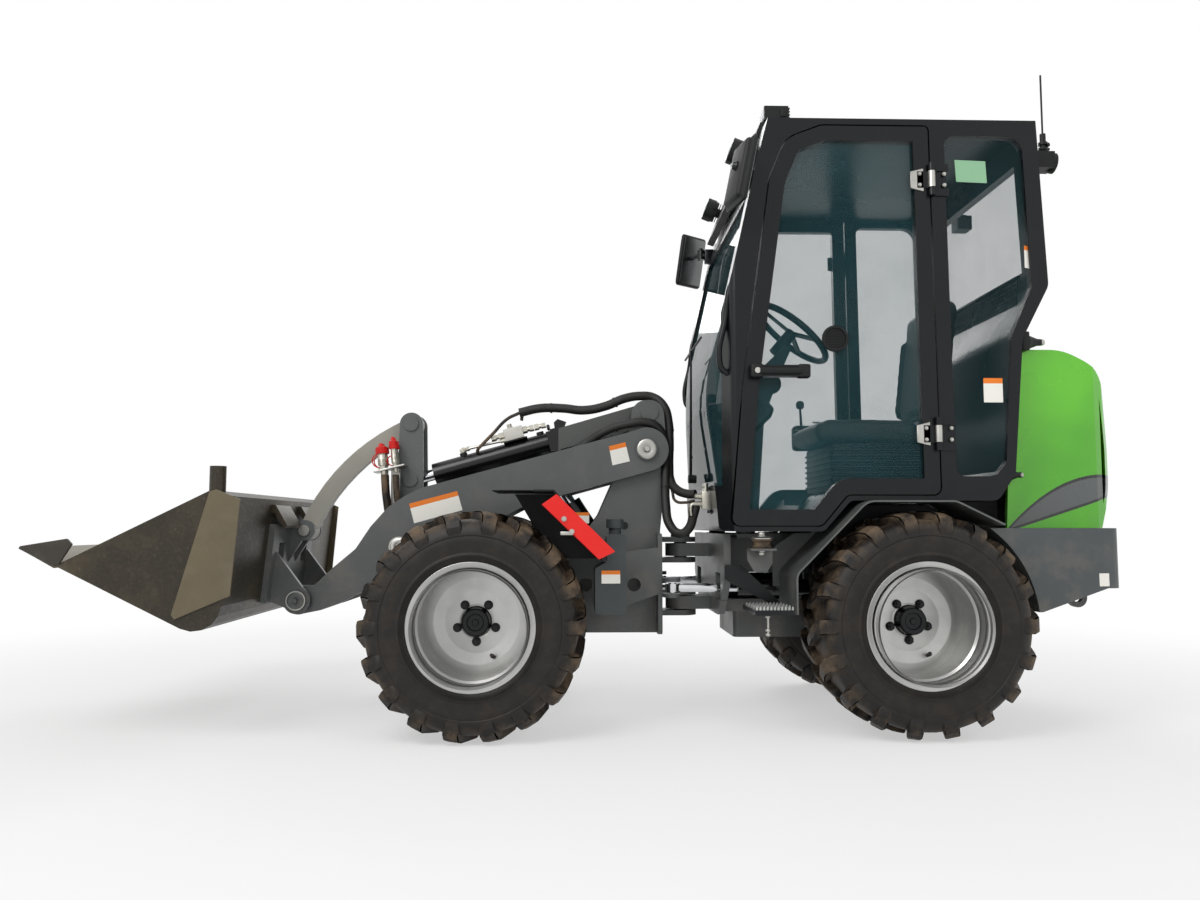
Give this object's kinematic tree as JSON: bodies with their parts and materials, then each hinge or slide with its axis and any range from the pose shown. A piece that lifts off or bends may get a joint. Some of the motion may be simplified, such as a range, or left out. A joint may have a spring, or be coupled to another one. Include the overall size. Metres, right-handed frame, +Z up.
{
  "type": "compact wheel loader",
  "caption": "Articulated compact wheel loader with a glazed cab, two-plate boom, parallel bucket linkage, deep-dish wheels and a general-purpose bucket.",
  "frame": {"origin": "on the ground at the middle of the machine, centred on its length and width, standing on its four tyres", "axes": "+X forwards towards the bucket, +Y to the left of the driver, +Z up"},
  "size_m": [3.7508, 1.45, 2.4199],
  "materials": {
    "frame_paint": "satin warm grey enamel, dusty",
    "counterweight_paint": "satin blue grey enamel",
    "black_paint": "satin black powder coat",
    "hood_green": "gloss lime green",
    "tinted_glass": "blue green tint",
    "tyre_rubber": "matte, dusty",
    "rim_silver": "satin silver",
    "pin_steel": "bare steel",
    "rod_chrome": "polished",
    "barrel_paint": "satin black",
    "bucket_steel": "worn dark bronze",
    "link_paint": "satin light grey",
    "black_plastic": "moulded, grained",
    "seat_cover": "matte with pale trim",
    "engine_iron": "cast"
  },
  "bodies": {
    "rear_frame": {"rear_chassis": "frame_paint", "rear_axle": "frame_paint", "engine": "engine_iron", "counterweight": "counterweight_paint", "rear_fenders": "frame_paint", "steps": "black_paint", "cab_shell": "black_paint", "cab_roof": "black_plastic", "cab_glass": "tinted_glass", "seat": "seat_cover", "steering_console": "black_plastic", "mirrors": "black_plastic", "work_lights": "black_plastic"},
    "hood": {"hood": "hood_green"},
    "door_left": {"door_left": "black_paint", "door_left_glass": "tinted_glass"},
    "door_right": {"door_right": "black_paint", "door_right_glass": "tinted_glass"},
    "front_frame": {"front_chassis": "frame_paint", "front_axle": "frame_paint", "front_fenders": "black_paint", "fuel_tank": "black_plastic"},
    "boom": {"boom": "frame_paint"},
    "lever_pin": {"lever_pin": "pin_steel"},
    "tilt_lever": {"tilt_lever": "frame_paint"},
    "coupler_pin": {"coupler_pin": "pin_steel"},
    "attachment": {"coupler": "frame_paint", "bucket": "bucket_steel"},
    "link_pin": {"link_pin": "pin_steel"},
    "tilt_link": {"tilt_link": "link_paint"},
    "lift_barrel": {"lift_barrel": "barrel_paint"},
    "lift_rod": {"lift_rod": "rod_chrome"},
    "tilt_barrel": {"tilt_barrel": "barrel_paint"},
    "tilt_rod": {"tilt_rod": "rod_chrome"},
    "steer_barrel_left": {"steer_barrel_left": "barrel_paint"},
    "steer_rod_left": {"steer_rod_left": "rod_chrome"},
    "steer_barrel_right": {"steer_barrel_right": "barrel_paint"},
    "steer_rod_right": {"steer_rod_right": "rod_chrome"},
    "front_left_wheel": {"front_left_tyre": "tyre_rubber", "front_left_rim": "rim_silver"},
    "front_right_wheel": {"front_right_tyre": "tyre_rubber", "front_right_rim": "rim_silver"},
    "rear_left_wheel": {"rear_left_tyre": "tyre_rubber", "rear_left_rim": "rim_silver"},
    "rear_right_wheel": {"rear_right_tyre": "tyre_rubber", "rear_right_rim": "rim_silver"}
  },
  "joints": [
    {"name": "front_left_roll", "type": "hinge", "parent": "front_frame", "child": "front_left_wheel", "pos_m": [0.4196, 0.48, 0.385], "axis": [0, 1, 0], "continuous": true},
    {"name": "front_right_roll", "type": "hinge", "parent": "front_frame", "child": "front_right_wheel", "pos_m": [0.4196, -0.48, 0.385], "axis": [0, 1, 0], "continuous": true},
    {"name": "rear_left_roll", "type": "hinge", "parent": "rear_frame", "child": "rear_left_wheel", "pos_m": [-1.1104, 0.48, 0.385], "axis": [0, 1, 0], "continuous": true},
    {"name": "rear_right_roll", "type": "hinge", "parent": "rear_frame", "child": "rear_right_wheel", "pos_m": [-1.1104, -0.48, 0.385], "axis": [0, 1, 0], "continuous": true},
    {"name": "steering", "type": "hinge", "parent": "rear_frame", "child": "front_frame", "pos_m": [-0.3454, 0, 0.5], "axis": [0, 0, 1], "range_deg": [-40, 40]},
    {"name": "door_left_swing", "type": "hinge", "parent": "rear_frame", "child": "door_left", "pos_m": [-1.1834, 0.557, 1.4], "axis": [0, 0, 1], "range_deg": [0, 95]},
    {"name": "door_right_swing", "type": "hinge", "parent": "rear_frame", "child": "door_right", "pos_m": [-1.1834, -0.557, 1.4], "axis": [0, 0, -1], "range_deg": [0, 95]},
    {"name": "hood_lift", "type": "hinge", "parent": "rear_frame", "child": "hood", "pos_m": [-1.8414, 0, 0.724], "axis": [0, -1, 0], "range_deg": [0, 65]},
    {"name": "boom_lift", "type": "hinge", "parent": "front_frame", "child": "boom", "pos_m": [-0.1984, 0, 1.01], "axis": [0, -1, 0], "range_deg": [-14, 74]},
    {"name": "coupler_pin_turn", "type": "hinge", "parent": "boom", "child": "coupler_pin", "pos_m": [1.1056, 0, 0.443], "axis": [0, -1, 0], "range_deg": [-66.61, 12.61]},
    {"name": "bucket_tilt", "type": "hinge", "parent": "coupler_pin", "child": "attachment", "pos_m": [1.1056, 0, 0.443], "axis": [0, -1, 0], "range_deg": [-72, 6]},
    {"name": "lever_pin_turn", "type": "hinge", "parent": "boom", "child": "lever_pin", "pos_m": [0.7346, 0, 0.64], "axis": [0, -1, 0], "range_deg": [-39.53, 7.49]},
    {"name": "lever_turn", "type": "hinge", "parent": "lever_pin", "child": "tilt_lever", "pos_m": [0.7346, 0, 0.64], "axis": [0, -1, 0], "range_deg": [-38.96, 3.26]},
    {"name": "link_pin_turn", "type": "hinge", "parent": "attachment", "child": "link_pin", "pos_m": [1.1276, 0, 0.701], "axis": [0, -1, 0], "range_deg": [-9.84, 51.96]},
    {"name": "link_turn", "type": "hinge", "parent": "link_pin", "child": "tilt_link", "pos_m": [1.1276, 0, 0.701], "axis": [0, -1, 0], "range_deg": [-4.87, 58.35]},
    {"name": "tilt_barrel_turn", "type": "hinge", "parent": "front_frame", "child": "tilt_barrel", "pos_m": [-0.2114, 0, 1.159], "axis": [0, -1, 0], "range_deg": [-13.96, 73.74]},
    {"name": "tilt_rod_slide", "type": "slide", "parent": "tilt_barrel", "child": "tilt_rod", "axis": [0.9631, 0, -0.2692], "range_m": [-0.01377, 0.15974]},
    {"name": "lift_barrel_turn", "type": "hinge", "parent": "front_frame", "child": "lift_barrel", "pos_m": [-0.1954, 0, 0.36], "axis": [0, -1, 0], "range_deg": [-3.71, 19.56]},
    {"name": "lift_rod_slide", "type": "slide", "parent": "lift_barrel", "child": "lift_rod", "axis": [0.5447, 0, 0.8387], "range_m": [-0.07115, 0.37395]},
    {"name": "steer_barrel_left_turn", "type": "hinge", "parent": "rear_frame", "child": "steer_barrel_left", "pos_m": [-0.9854, 0.265, 0.491], "axis": [0, 0, 1], "range_deg": [-2.41, 2.41]},
    {"name": "steer_rod_left_slide", "type": "slide", "parent": "steer_barrel_left", "child": "steer_rod_left", "axis": [1, 0, 0], "range_m": [-0.1737, 0.1737]},
    {"name": "steer_barrel_right_turn", "type": "hinge", "parent": "rear_frame", "child": "steer_barrel_right", "pos_m": [-0.9854, -0.265, 0.491], "axis": [0, 0, 1], "range_deg": [-2.41, 2.41]},
    {"name": "steer_rod_right_slide", "type": "slide", "parent": "steer_barrel_right", "child": "steer_rod_right", "axis": [1, 0, 0], "range_m": [-0.1737, 0.1737]}
  ],
  "couplings": [
    {"joint": "coupler_pin_turn", "follows": "boom_lift", "ratio": -0.9},
    {"joint": "lever_pin_turn", "follows": "boom_lift", "ratio": -0.534},
    {"joint": "lever_turn", "follows": "bucket_tilt", "ratio": 0.541},
    {"joint": "link_pin_turn", "follows": "boom_lift", "ratio": 0.702},
    {"joint": "link_turn", "follows": "bucket_tilt", "ratio": -0.8103},
    {"joint": "tilt_barrel_turn", "follows": "boom_lift", "ratio": 0.9963},
    {"joint": "tilt_rod_slide", "follows": "bucket_tilt", "m_per_rad": -0.12672},
    {"joint": "lift_barrel_turn", "follows": "boom_lift", "ratio": 0.26413},
    {"joint": "lift_rod_slide", "follows": "boom_lift", "m_per_rad": 0.28915},
    {"joint": "steer_barrel_left_turn", "follows": "steering", "ratio": 0.06},
    {"joint": "steer_rod_left_slide", "follows": "steering", "m_per_rad": -0.24809},
    {"joint": "steer_barrel_right_turn", "follows": "steering", "ratio": 0.06},
    {"joint": "steer_rod_right_slide", "follows": "steering", "m_per_rad": 0.24809}
  ]
}
